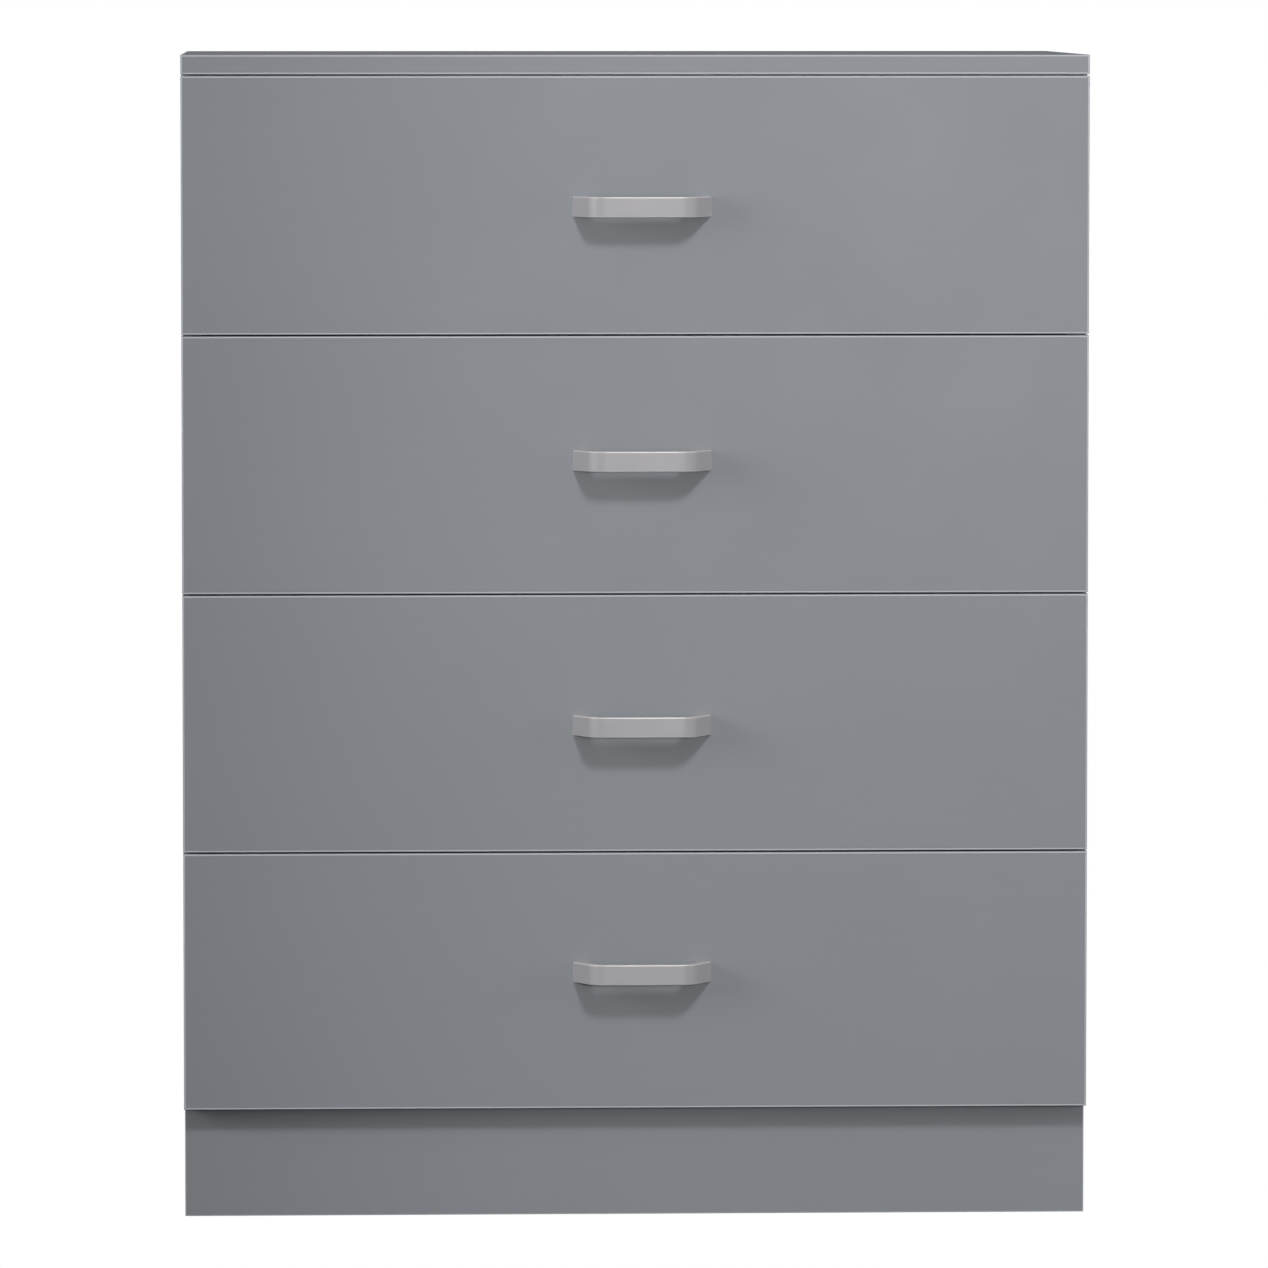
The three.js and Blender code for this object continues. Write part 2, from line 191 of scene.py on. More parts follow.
def scaled(colour, factor):
    return tuple(min(1.0, c * factor) for c in colour)


def foil(name, colour, roughness=0.46, grain=1.0):
    """Printed foil on board: faint clouding, fine streaks across the width, a silky micro texture and a
    painted highlight on its rounded edges.
    """
    material, nodes, links, shader = new_material(name)
    cloud = noise(nodes, links, 3.5, 4)
    streak = noise(nodes, links, 60, 3, stretch=(0.25, 1, 6))
    mottled = mix_colour(nodes, links, spread(nodes, links, cloud, 0, 1),
                         scaled(colour, 1 - 0.018 * grain), scaled(colour, 1 + 0.018 * grain))
    lined = mix_colour(nodes, links, remap(nodes, links, streak, 0.35, 0.75, 0, 0.35 * grain),
                       mottled, scaled(colour, 0.965))
    # Painted highlight: the rounded edges are lighter than the faces.
    edge_highlight = mix_colour(nodes, links, edge_mask(nodes, links, 0.4 * MM), lined, scaled(colour, 1.12))
    links.new(edge_highlight, shader.inputs["Base Color"])
    sheen = spread(nodes, links, noise(nodes, links, 9, 3), roughness - 0.03, roughness + 0.04)
    links.new(sheen, shader.inputs["Roughness"])
    bump(nodes, links, shader, noise(nodes, links, 1400, 2, stretch=(0.5, 1, 1)), 0.03 * MM, 0.35)
    shader.inputs["Specular IOR Level"].default_value = 0.4
    return material


def edging(name, colour):
    """Plastic edge band of an even colour, with fine drawn lines along it."""
    material, nodes, links, shader = new_material(name)
    drawn = noise(nodes, links, 300, 2, stretch=(0.05, 1, 1))
    links.new(mix_colour(nodes, links, drawn, scaled(colour, 0.96), scaled(colour, 1.04)),
              shader.inputs["Base Color"])
    links.new(spread(nodes, links, drawn, 0.43, 0.49), shader.inputs["Roughness"])
    bump(nodes, links, shader, noise(nodes, links, 900, 2), 0.02 * MM, 0.3)
    shader.inputs["Specular IOR Level"].default_value = 0.4
    return material


def chipboard(name):
    """Raw sawn chipboard: pressed flakes of pale and dark wood with small voids."""
    material, nodes, links, shader = new_material(name)
    coords = nodes.new("ShaderNodeTexCoord")
    flakes = nodes.new("ShaderNodeTexVoronoi")
    flakes.inputs["Scale"].default_value = 420
    flakes.inputs["Randomness"].default_value = 1
    links.new(coords.outputs["Object"], flakes.inputs["Vector"])
    shade = nodes.new("ShaderNodeSeparateColor")
    links.new(flakes.outputs["Color"], shade.inputs["Color"])
    pale_wood, brown_wood, void = (0.70, 0.54, 0.35), (0.50, 0.35, 0.20), (0.26, 0.16, 0.08)
    wood = mix_colour(nodes, links, shade.outputs["Red"], brown_wood, pale_wood)
    dark = remap(nodes, links, noise(nodes, links, 700, 3), 0.56, 0.66, 0, 0.8)
    links.new(mix_colour(nodes, links, dark, wood, void), shader.inputs["Base Color"])
    shader.inputs["Roughness"].default_value = 0.9
    bump(nodes, links, shader, noise(nodes, links, 800, 4), 0.3 * MM, 0.8)
    return material


def hardboard(name, printed=None):
    """Brown fibreboard. Where printed is given, the faces that look along +Z have that thin paint coat."""
    material, nodes, links, shader = new_material(name)
    dark_fibre, pale_fibre, stain = (0.20, 0.115, 0.055), (0.42, 0.27, 0.145), (0.27, 0.16, 0.08)
    fibres = noise(nodes, links, 500, 6, stretch=(0.6, 1, 1), roughness=0.7)
    clouds = noise(nodes, links, 12, 4)
    brown = mix_colour(nodes, links, fibres, dark_fibre, pale_fibre)
    colour = mix_colour(nodes, links, spread(nodes, links, clouds, 0, 0.35), brown, stain)
    roughness = spread(nodes, links, fibres, 0.7, 0.9)
    if printed:
        geometry = nodes.new("ShaderNodeNewGeometry")
        split = nodes.new("ShaderNodeSeparateXYZ")
        links.new(geometry.outputs["True Normal"], split.inputs["Vector"])
        upper = remap(nodes, links, split.outputs["Z"], 0.4, 0.6, 0, 1)
        coat = mix_colour(nodes, links, clouds, scaled(printed, 0.97), scaled(printed, 1.03))
        colour = mix_colour(nodes, links, upper, colour, coat)
        roughness = remap(nodes, links, upper, 0, 1, 0.85, 0.5)
    links.new(colour, shader.inputs["Base Color"])
    links.new(roughness, shader.inputs["Roughness"])
    bump(nodes, links, shader, fibres, 0.08 * MM, 0.5)
    return material


def satin_metal(name, colour, metallic, roughness, streaks):
    """Satin coated or plated metal with faint brushed lines and a painted highlight on its edges."""
    material, nodes, links, shader = new_material(name)
    lines = noise(nodes, links, 260, 3, stretch=(0.15, 1, 4))
    brushed = mix_colour(nodes, links, spread(nodes, links, lines, 0, 1),
                         scaled(colour, 1 - 0.02 * streaks), scaled(colour, 1 + 0.02 * streaks))
    # Painted highlight: the edges are lighter than the faces.
    edge_highlight = mix_colour(nodes, links, edge_mask(nodes, links, 0.3 * MM), brushed, scaled(colour, 1.12))
    links.new(edge_highlight, shader.inputs["Base Color"])
    shader.inputs["Metallic"].default_value = metallic
    sheen = spread(nodes, links, noise(nodes, links, 40, 3), roughness - 0.03, roughness + 0.04)
    links.new(sheen, shader.inputs["Roughness"])
    bump(nodes, links, shader, lines, 0.01 * MM, 0.25 * streaks)
    return material


def powder_coat(name, colour):
    """Powder-coated sheet steel with a light orange-peel texture, rubbed on its edges."""
    material, nodes, links, shader = new_material(name)
    grime = noise(nodes, links, 18, 4)
    soiled = mix_colour(nodes, links, remap(nodes, links, grime, 0.4, 0.75, 0, 0.5),
                        colour, scaled(colour, 0.9))
    rubbed = mix_colour(nodes, links, edge_mask(nodes, links, 0.25 * MM), soiled, scaled(colour, 0.78))
    links.new(rubbed, shader.inputs["Base Color"])
    links.new(spread(nodes, links, grime, 0.32, 0.45), shader.inputs["Roughness"])
    bump(nodes, links, shader, noise(nodes, links, 900, 3), 0.05 * MM, 0.5)
    return material


def moulded(name, colour, roughness):
    """Moulded plastic with a fine matt skin and faint colour variation."""
    material, nodes, links, shader = new_material(name)
    cloud = noise(nodes, links, 60, 3)
    links.new(mix_colour(nodes, links, cloud, scaled(colour, 0.94), scaled(colour, 1.04)),
              shader.inputs["Base Color"])
    links.new(spread(nodes, links, cloud, roughness - 0.04, roughness + 0.05), shader.inputs["Roughness"])
    bump(nodes, links, shader, noise(nodes, links, 1200, 2), 0.03 * MM, 0.4)
    return material


GREY = (0.268, 0.281, 0.303)
FOIL = foil("grey_foil", GREY)
BAND = edging("grey_edging", GREY)
# Painted highlight: a much lighter line along each arris of the boards.
ARRIS_HIGHLIGHT = edging("painted_arris_highlight", scaled(GREY, 1.95))
RAW = chipboard("raw_chipboard")
BOX_FOIL = foil("light_box_foil", (0.50, 0.51, 0.52), 0.5, 1.5)
BASE_SHEET = hardboard("drawer_base_hardboard", (0.52, 0.53, 0.54))
BACK_SHEET = hardboard("back_hardboard")
HANDLE_SATIN = satin_metal("handle_satin_silver", (0.44, 0.43, 0.45), 0.22, 0.56, 0.6)
# Painted highlight: the rounded rims of the handle straps are much lighter than the strap.
HANDLE_RIM_HIGHLIGHT = satin_metal("handle_rim_highlight", (0.66, 0.64, 0.65), 0.3, 0.4, 0.4)
RUNNER_COAT = powder_coat("runner_powder_coat", (0.74, 0.74, 0.71))
NYLON = moulded("white_nylon", (0.82, 0.81, 0.77), 0.4)
GLIDE = moulded("brown_glide_plastic", (0.13, 0.095, 0.06), 0.5)
ZINC = satin_metal("zinc_plate", (0.56, 0.56, 0.54), 1.0, 0.34, 1.5)
# Painted shade: near-black stands for the shade inside the cross recesses.
RECESS_SHADE = moulded("recess_shadow_black", (0.02, 0.02, 0.02), 0.7)


# ---- Mesh helpers ----------------------------------------------------------------------------------

def place(name, mesh, body, materials, replaces=()):
    """Makes a piece of the mesh, lets it ride on the body and hides the CAD nodes it stands for."""
    for material in materials:
        mesh.materials.append(material)
    piece = bpy.data.objects.new(name, mesh)
    bpy.context.scene.collection.objects.link(piece)
    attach(piece, body)
    if replaces:
        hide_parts(*replaces)
    return piece


def finished(bm, name, smooth_angle=35):
    """The bmesh as a mesh with outward faces, smooth except across edges sharper than smooth_angle."""
    bmesh.ops.recalc_face_normals(bm, faces=bm.faces)
    limit = math.radians(smooth_angle)
    for face in bm.faces:
        face.smooth = True
    for edge in bm.edges:
        edge.smooth = len(edge.link_faces) == 2 and edge.calc_face_angle() < limit
    mesh = bpy.data.meshes.new(name)
    bm.to_mesh(mesh)
    bm.free()
    return mesh


def axis_frame(along):
    """Matrix that turns local Z into the direction `along`."""
    return Vector((0, 0, 1)).rotation_difference(Vector(along)).to_matrix().to_4x4()


def add_lathe(bm, profile, at, along, segments=40):
    """Adds a turned body. profile lists (radius, height) from the bottom axis point to the top one."""
    turn = Matrix.Translation(Vector(at)) @ axis_frame(along)
    angles = [2 * math.pi * i / segments for i in range(segments)]
    rings = []
    for radius, height in profile:
        around = angles if radius else [0]
        rings.append([bm.verts.new(turn @ Vector((radius * math.cos(a), radius * math.sin(a), height)))
                      for a in around])
    for low, high in zip(rings, rings[1:]):
        for i in range(segments):
            j = (i + 1) % segments
            corners = [low[i % len(low)], low[j % len(low)], high[j % len(high)], high[i % len(high)]]
            unique = list(dict.fromkeys(corners))
            if len(unique) > 2:
                bm.faces.new(unique)


def add_prism(bm, outline, to_point, low, high, material=0):
    """Adds an extruded outline and returns its two caps and its sides.

    to_point turns (a, b, depth) into a point.
    """
    bottom = [bm.verts.new(to_point(a, b, low)) for a, b in outline]
    top = [bm.verts.new(to_point(a, b, high)) for a, b in outline]
    faces = [bm.faces.new(bottom), bm.faces.new(top)]
    for i in range(len(outline)):
        j = (i + 1) % len(outline)
        faces.append(bm.faces.new((bottom[i], bottom[j], top[j], top[i])))
    for face in faces:
        face.material_index = material
    return faces


def quadratic(start, control, end, steps):
    """Points on a quadratic curve, with both ends."""
    points = []
    for i in range(steps + 1):
        t = i / steps
        points.append(tuple((1 - t) ** 2 * s + 2 * t * (1 - t) * c + t * t * e
                            for s, c, e in zip(start, control, end)))
    return points


# ---- Boards ----------------------------------------------------------------------------------------

AXES = {"x": 0, "y": 1, "z": 2}
WAYS = {"+y": (0, 1, 0), "-z": (0, 0, -1)}
BOARD_SLOTS = {"foil": 0, "band": 1, "raw": 2, "line": 3}


def board(node, body, thickness, raw=(), outline=None, line=ARRIS_HIGHLIGHT_WIDTH):
    """A laminated board in place of a CAD node.

    Foil is on both faces, edge band round the rest, raw chipboard on the edges that look the ways listed
    in raw, and a painted highlight line along each arris. outline is given in the two axes that aren't the
    thickness.
    """
    low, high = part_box(node)
    t = AXES[thickness]
    a, b = [i for i in range(3) if i != t]
    if outline is None:
        outline = [(low[a], low[b]), (high[a], low[b]), (high[a], high[b]), (low[a], high[b])]

    def to_point(p, q, depth):
        point = [0, 0, 0]
        point[a], point[b], point[t] = p, q, depth
        return Vector(point)

    bm = bmesh.new()
    faces = add_prism(bm, outline, to_point, low[t], high[t], BOARD_SLOTS["band"])
    bmesh.ops.recalc_face_normals(bm, faces=bm.faces)
    for cap in faces[:2]:
        cap.material_index = BOARD_SLOTS["foil"]
    for side in faces[2:]:
        if any(side.normal.dot(Vector(WAYS[way])) > 0.9 for way in raw):
            side.material_index = BOARD_SLOTS["raw"]
    arrises = list(bm.edges)
    rings = bmesh.ops.inset_individual(bm, faces=faces, thickness=line, use_even_offset=True)["faces"]
    # The line slot holds the painted arris highlight.
    for ring in rings:
        if ring.material_index != BOARD_SLOTS["raw"]:
            ring.material_index = BOARD_SLOTS["line"]
    bmesh.ops.bevel(bm, geom=arrises, offset=EDGE_RADIUS, segments=3, affect="EDGES", profile=0.5,
                    material=BOARD_SLOTS["band"])
    mesh = finished(bm, node, smooth_angle=50)
    place(f"{node}_board", mesh, body, (FOIL, BAND, RAW, ARRIS_HIGHLIGHT), (node,))


def box_board(node, material, radius=EDGE_RADIUS):
    """Keeps a CAD node, with its edges rounded."""
    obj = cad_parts[node]
    obj.data.materials.clear()
    obj.data.materials.append(material)
    weld = obj.modifiers.new("weld", "WELD")
    weld.merge_threshold = 0.005 * MM
    bevel = obj.modifiers.new("edges", "BEVEL")
    bevel.width = radius
    bevel.segments = 2
    bevel.limit_method = "ANGLE"
    bevel.angle_limit = math.radians(40)


def side_panel(side):
    """A side panel, notched at its lower front corner for the plinth panel."""
    node = f"{side}_side_panel"
    low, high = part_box(node)
    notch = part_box("plinth_panel")[1]
    outline = [(notch.y, low.z), (high.y, low.z), (high.y, high.z),
               (low.y, high.z), (low.y, notch.z), (notch.y, notch.z)]
    board(node, "carcass", "x", raw=("+y", "-z"), outline=outline)


board("top_panel", "carcass", "z", raw=("+y",))
for side in SIDES:
    side_panel(side)
board("plinth_panel", "carcass", "y", raw=("-z",), line=PLINTH_HIGHLIGHT_WIDTH)
board("front_top_rail", "carcass", "z", raw=("+y", "-z"))
board("middle_rail", "carcass", "z", raw=("+y", "-z"))
board("rear_bottom_rail", "carcass", "y", raw=("-z",))
box_board("back_panel", BACK_SHEET)
for n in DRAWERS:
    board(f"drawer_{n}_front", f"drawer_{n}", "y")
    for side in SIDES:
        box_board(f"drawer_{n}_{side}_side", BOX_FOIL)
    box_board(f"drawer_{n}_back", BOX_FOIL)
    box_board(f"drawer_{n}_base", BASE_SHEET, BASE_EDGE_RADIUS)


# ---- Handles ---------------------------------------------------------------------------------------

HANDLE_SLOTS = {"face": 0, "rim": 1}


def handle_outline(half, out):
    """The strap from above, as (across, outwards) points, with its feet on 0."""
    inner_out = out - HANDLE_THICKNESS
    corner_out, corner_in = half - OUTER_BEND["inset"], half - INNER_BEND["inset"]
    foot_in = half - HANDLE_FOOT

    def leg_point(foot, corner, height, back):
        """The point on a leg's straight face that is `back` from its upper corner."""
        share = back / math.hypot(foot - corner, height)
        return corner + (foot - corner) * share, height * (1 - share)

    outer = quadratic(leg_point(half, corner_out, out, OUTER_BEND["reach"]), (corner_out, out),
                      (corner_out - OUTER_BEND["reach"], out), BEND_STEPS)
    inner = quadratic((corner_in - INNER_BEND["reach"], inner_out), (corner_in, inner_out),
                      leg_point(foot_in, corner_in, inner_out, INNER_BEND["reach"]), BEND_STEPS)
    right = [(half, 0)] + outer
    left = [(-x, y) for x, y in reversed(right)]
    inner_right = inner + [(foot_in, 0)]
    inner_left = [(-x, y) for x, y in reversed(inner_right)]
    return right + left + inner_left + inner_right


def inset_outline(outline, distance):
    """The closed anticlockwise outline moved inwards by distance, corner by corner."""
    points = []
    for i, corner in enumerate(outline):
        into = (Vector(corner) - Vector(outline[i - 1])).normalized()
        away = (Vector(outline[(i + 1) % len(outline)]) - Vector(corner)).normalized()
        first, second = Vector((-into.y, into.x)), Vector((-away.y, away.x))
        points.append(Vector(corner) + (first + second) * (distance / (1 + first.dot(second))))
    return points


def rounded_levels(low, high, radius, steps=5):
    """(height, inset) pairs of a bar with rounded rims, from its lower face to its upper one."""
    turns = [math.radians(90 * i / steps) for i in range(steps + 1)]
    lower = [(low + radius * (1 - math.cos(t)), radius * (1 - math.sin(t))) for t in turns]
    return lower + [(low + high - z, inset) for z, inset in reversed(lower)]


def handle(n):
    """One flat strap, bent to two legs, with rounded rims in a painted highlight."""
    node = f"drawer_{n}_handle"
    low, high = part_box(node)
    centre_x = (low.x + high.x) / 2
    outline = handle_outline((high.x - low.x) / 2, high.y - low.y)
    levels = rounded_levels(low.z, high.z, HANDLE_RIM_RADIUS)
    bm = bmesh.new()
    rings = []
    for z, inset in levels:
        section = inset_outline(outline, inset)
        rings.append([bm.verts.new((centre_x + a, high.y - b, z)) for a, b in section])
    for lower, upper, bottom, top in zip(levels, levels[1:], rings, rings[1:]):
        # The rim slot gets the lighter painted highlight.
        slot = HANDLE_SLOTS["face" if lower[1] == upper[1] else "rim"]
        for i in range(len(outline)):
            bm.faces.new((bottom[i - 1], bottom[i], top[i], top[i - 1])).material_index = slot
    for cap in (rings[0], rings[-1]):
        bm.faces.new(cap)
    mesh = finished(bm, node, smooth_angle=40)
    strap = place(f"{node}_strap", mesh, f"drawer_{n}", (HANDLE_SATIN, HANDLE_RIM_HIGHLIGHT), (node,))
    weighted = strap.modifiers.new("normals", "WEIGHTED_NORMAL")
    weighted.keep_sharp = True


# ---- Fasteners -------------------------------------------------------------------------------------

FASTENER_MATERIALS = (ZINC, RECESS_SHADE)
CROSS_SLOT = 1  # RECESS_SHADE, the painted shade of the cross recess


def add_cross(bm, at, along, length, width, depth):
    """A cross recess, as two bars of painted shade at a random turn, since the metal that they lie in
    isn't cut.
    """
    spin = Matrix.Rotation(RNG.uniform(0, math.pi), 4, "Z")
    turn = Matrix.Translation(Vector(at)) @ axis_frame(along) @ spin
    for a, b in ((length, width), (width, length)):
        outline = [(-a / 2, -b / 2), (a / 2, -b / 2), (a / 2, b / 2), (-a / 2, b / 2)]
        add_prism(bm, outline, lambda p, q, d: turn @ Vector((p, q, d)), -depth, CROSS_RISE, CROSS_SLOT)


def add_screw(bm, at, along, radius, height):
    """A domed head that stands on the point `at` and looks along `along`, with its cross recess."""
    rim = 0.35 * height
    dome = height - rim
    profile = [(0, -HEAD_SINK), (radius, -HEAD_SINK), (radius, rim)]
    for degrees in range(15, 76, 15):
        angle = math.radians(degrees)
        profile.append((radius * math.cos(angle), rim + dome * math.sin(angle)))
    profile.append((0, height))
    add_lathe(bm, profile, at, along, 28)
    add_cross(bm, Vector(at) + Vector(along) * height, along, radius * 1.15, radius * 0.28, height * 0.5)


def handle_screws(n):
    """A handle's two fixing screws with their washers, on the rear face of the drawer front."""
    low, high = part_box(f"drawer_{n}_handle")
    rear_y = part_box(f"drawer_{n}_front")[1].y
    z = (low.z + high.z) / 2
    washer = [(0, 0), (WASHER_RADIUS, 0), (WASHER_RADIUS, WASHER_HEIGHT - 0.2 * MM),
              (WASHER_RADIUS - 0.3 * MM, WASHER_HEIGHT), (0, WASHER_HEIGHT)]
    for side, sign in SIDES.items():
        x = (low.x + high.x) / 2 + sign * HANDLE_CENTRES / 2
        bm = bmesh.new()
        add_lathe(bm, washer, (x, rear_y, z), (0, 1, 0))
        add_screw(bm, (x, rear_y + WASHER_HEIGHT, z), (0, 1, 0), *HANDLE_SCREW_HEAD)
        mesh = finished(bm, "handle_screw")
        place(f"drawer_{n}_handle_screw_{side}", mesh, f"drawer_{n}", FASTENER_MATERIALS)


def cam(name, body, at, along):
    """A die-cast cam lock, level with the board face that it sits in, with a rim and a cross recess."""
    rim, face = -0.1 * MM, -0.6 * MM  # from the board face
    profile = [(0, -CAM_DEPTH), (CAM_RADIUS, -CAM_DEPTH), (CAM_RADIUS, rim - 0.4 * MM),
               (CAM_RADIUS - 0.4 * MM, rim), (CAM_RADIUS - 1.2 * MM, rim),
               (CAM_RADIUS - 1.5 * MM, face), (0, face)]
    bm = bmesh.new()
    add_lathe(bm, profile, at, along, 48)
    add_cross(bm, Vector(at) + Vector(along) * face, along, 8 * MM, 1.6 * MM, 1.5 * MM)
    place(name, finished(bm, "cam"), body, FASTENER_MATERIALS)


def cams(side):
    """The cams of one side: two under the top panel, and two behind each drawer front."""
    sign = SIDES[side]
    inner_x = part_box("right_side_panel")[0].x
    top_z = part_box("top_panel")[0].z - CAM_INSET
    for where, y in TOP_CAM_YS.items():
        cam(f"cam_{side}_{where}", "carcass", (sign * inner_x, y, top_z), (-sign, 0, 0))
    for n in DRAWERS:
        low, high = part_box(f"drawer_{n}_{side}_side")
        x = high.x if sign > 0 else low.x
        heights = {
            "lower": low.z + DRAWER_CAM_INSETS["lower"],
            "upper": high.z - DRAWER_CAM_INSETS["upper"],
        }
        for where, z in heights.items():
            name = f"drawer_{n}_cam_{side}_{where}"
            cam(name, f"drawer_{n}", (x, low.y + CAM_INSET, z), (sign, 0, 0))


def back_nails():
    """Small flat-headed nails round the edge of the back sheet."""
    low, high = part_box("back_panel")
    spots = []
    for i in range(NAIL_ROWS):
        share = i / (NAIL_ROWS - 1)
        z = low.z + NAIL_END_INSET + (high.z - low.z - 2 * NAIL_END_INSET) * share
        spots += [(low.x + NAIL_INSET, z), (high.x - NAIL_INSET, z)]
    for i in range(1, NAIL_COLUMNS + 1):
        x = low.x + (high.x - low.x) * i / (NAIL_COLUMNS + 1)
        spots += [(x, high.z - NAIL_INSET), (x, low.z + NAIL_FOOT_INSET)]
    profile = [(0, -0.5 * MM), (1.6 * MM, -0.5 * MM), (1.7 * MM, 0.2 * MM), (1.3 * MM, 0.4 * MM),
               (0, 0.4 * MM)]
    bm = bmesh.new()
    for x, z in spots:
        at = (x + RNG.uniform(-1, 1) * MM, high.y, z + RNG.uniform(-2, 2) * MM)
        add_lathe(bm, profile, at, (0, 1, 0), 16)
    place("back_panel_nails", finished(bm, "nails"), "carcass", (ZINC,))


for n in DRAWERS:
    handle(n)
    handle_screws(n)
for side in SIDES:
    cams(side)
back_nails()


# ---- Runners ---------------------------------------------------------------------------------------

def left_of(way):
    return Vector((-way.y, way.x))


def bent(points):
    """The outline of a sheet that lies on the left of the open line of points, with rounded folds."""
    left, right = [], []
    for i, point in enumerate(points):
        corner = Vector(point)
        before = (corner - Vector(points[i - 1])).normalized() if i > 0 else None
        after = (Vector(points[i + 1]) - corner).normalized() if i < len(points) - 1 else None
        if before is None or after is None:
            right.append(tuple(corner))
            left.append(tuple(corner + left_of(before or after) * STEEL))
            continue
        across = corner + (left_of(before) + left_of(after)) * STEEL
        turns_left = left_of(before).dot(after) > 0
        radii = (FOLD_RADIUS, FOLD_INNER_RADIUS) if turns_left else (FOLD_INNER_RADIUS, FOLD_RADIUS)
        for chain, middle, radius in zip((right, left), (corner, across), radii):
            chain += quadratic(middle - before * radius, middle, middle + after * radius, FOLD_STEPS)
    return right + left[::-1]


def add_section(bm, line, sign, base_z, y0, y1, flip=1):
    """Adds a folded steel section along Y.

    line holds (x, z) points of the right-hand side, with z above base_z, and the sheet lies on its left,
    or on its right where flip is -1.
    """
    outline = bent([(x, flip * z) for x, z in line])
    add_prism(bm, outline, lambda x, z, y: Vector((sign * x, y, base_z + flip * z)), y0, y1)


def add_axle(bm, length, head, at, along):
    """Adds an axle with a thin riveted head of radius `head`."""
    profile = [(0, 0), (AXLE_RADIUS, 0), (AXLE_RADIUS, length), (head, length),
               (head - 0.2 * MM, length + 0.4 * MM), (0, length + 0.5 * MM)]
    add_lathe(bm, profile, at, along, 28)


def add_roller(bm, at, sign, radius, width):
    """Adds a roller with a tyre groove and a hub, from its inner face at `at` outwards along X."""
    hub, hub_foot, dish = 3.4 * MM, 3.6 * MM, 0.6 * MM
    tyre, tyre_foot, edge = radius - 1.6 * MM, radius - 2.2 * MM, 0.7 * MM
    profile = [(0, 0), (hub, 0), (hub_foot, dish), (tyre_foot, dish), (tyre, 0), (radius - edge, 0),
               (radius, edge), (radius, width * 0.44), (radius - 0.25 * MM, width * 0.5),
               (radius, width * 0.56), (radius, width - edge), (radius - edge, width), (tyre, width),
               (tyre_foot, width - dish), (hub_foot, width - dish), (hub, width), (0, width)]
    add_lathe(bm, profile, at, (sign, 0, 0), 56)


def box_side(n, side):
    """A drawer side's outer face, from the middle of the chest, and the height of its lower edge."""
    low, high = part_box(f"drawer_{n}_{side}_side")
    return max(abs(low.x), abs(high.x)), low.z


def drawer_runner(n, side):
    """The section under a drawer side, with its rear roller and its screws."""
    sign = SIDES[side]
    body = f"drawer_{n}"
    node = f"drawer_{n}_runner_{side}"
    box_x, base_z = box_side(n, side)
    front_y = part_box(node)[0].y
    rear_y = front_y + RUNNER_LENGTH
    web = box_x + STEEL
    line = [(box_x - RUNNER_WRAP, -STEEL), (web, -STEEL), (web, FLANGE_LIFT),
            (web + FLANGE_WIDTH, FLANGE_LIFT)]
    axle_y, axle_z = rear_y - REAR_AXLE["inset"], base_z + REAR_AXLE["lift"]
    bm = bmesh.new()
    add_section(bm, line, sign, base_z, front_y, rear_y)
    add_axle(bm, REAR_AXLE["length"], REAR_AXLE["head"], (sign * web, axle_y, axle_z), (sign, 0, 0))
    place(f"{node}_section", finished(bm, node), body, (RUNNER_COAT,), (node,))
    bm = bmesh.new()
    add_roller(bm, (sign * (box_x + ROLLER_GAP), axle_y, axle_z), sign, ROLLER_RADIUS, ROLLER_WIDTH)
    place(f"drawer_{n}_rear_roller_{side}", finished(bm, "roller"), body, (NYLON,))
    bm = bmesh.new()
    for y in SIDE_SCREW_YS:
        at = (sign * (box_x - SIDE_SCREW_INSET), front_y + y, base_z - STEEL)
        add_screw(bm, at, (0, 0, -1), *SIDE_SCREW_HEAD)
    mesh = finished(bm, "screws")
    place(f"drawer_{n}_runner_screws_{side}", mesh, body, FASTENER_MATERIALS)


def cabinet_runner(n, side):
    """The channel on a side panel, with the axle of its front roller and its screws."""
    sign = SIDES[side]
    node = f"cabinet_runner_{n}_{side}"
    box_x, base_z = box_side(n, side)
    low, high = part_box(node)
    outer = max(abs(low.x), abs(high.x))
    floor_z, roof_z = low.z - base_z, high.z - base_z
    roller_x = box_x + ROLLER_GAP
    lip_x = box_x + STEEL + CHANNEL_LIP["gap"]
    line = [(roller_x, roof_z), (outer, roof_z), (outer, floor_z), (lip_x, floor_z),
            (lip_x, CHANNEL_LIP["top"])]
    wall = outer - STEEL
    axle_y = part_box(f"runner_roller_{n}_{side}")[0].y + ROLLER_RADIUS
    axle_z = base_z + FRONT_AXLE["lift"]
    axle_length = wall - (roller_x - FRONT_AXLE["proud"])
    bm = bmesh.new()
    add_section(bm, line, sign, base_z, low.y, high.y, flip=-1)
    add_axle(bm, axle_length, FRONT_AXLE["head"], (sign * wall, axle_y, axle_z), (-sign, 0, 0))
    place(f"{node}_channel", finished(bm, node), "carcass", (RUNNER_COAT,), (node,))
    bm = bmesh.new()
    for y in PANEL_SCREW_YS:
        at = (sign * wall, low.y + y, base_z + PANEL_SCREW_LIFT)
        add_screw(bm, at, (-sign, 0, 0), *PANEL_SCREW_HEAD)
    place(f"{node}_screws", finished(bm, "screws"), "carcass", FASTENER_MATERIALS)


def front_roller(n, side):
    """The roller that turns at the front of a channel."""
    node = f"runner_roller_{n}_{side}"
    sign = SIDES[side]
    low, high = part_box(node)
    at = (sign * min(abs(low.x), abs(high.x)), (low.y + high.y) / 2, (low.z + high.z) / 2)
    bm = bmesh.new()
    add_roller(bm, at, sign, (high.z - low.z) / 2, high.x - low.x)
    place(f"{node}_wheel", finished(bm, node), f"roller_{n}_{side}", (NYLON,), (node,))


for n in DRAWERS:
    for side in SIDES:
        drawer_runner(n, side)
        cabinet_runner(n, side)
        front_roller(n, side)


# ---- Glides ----------------------------------------------------------------------------------------

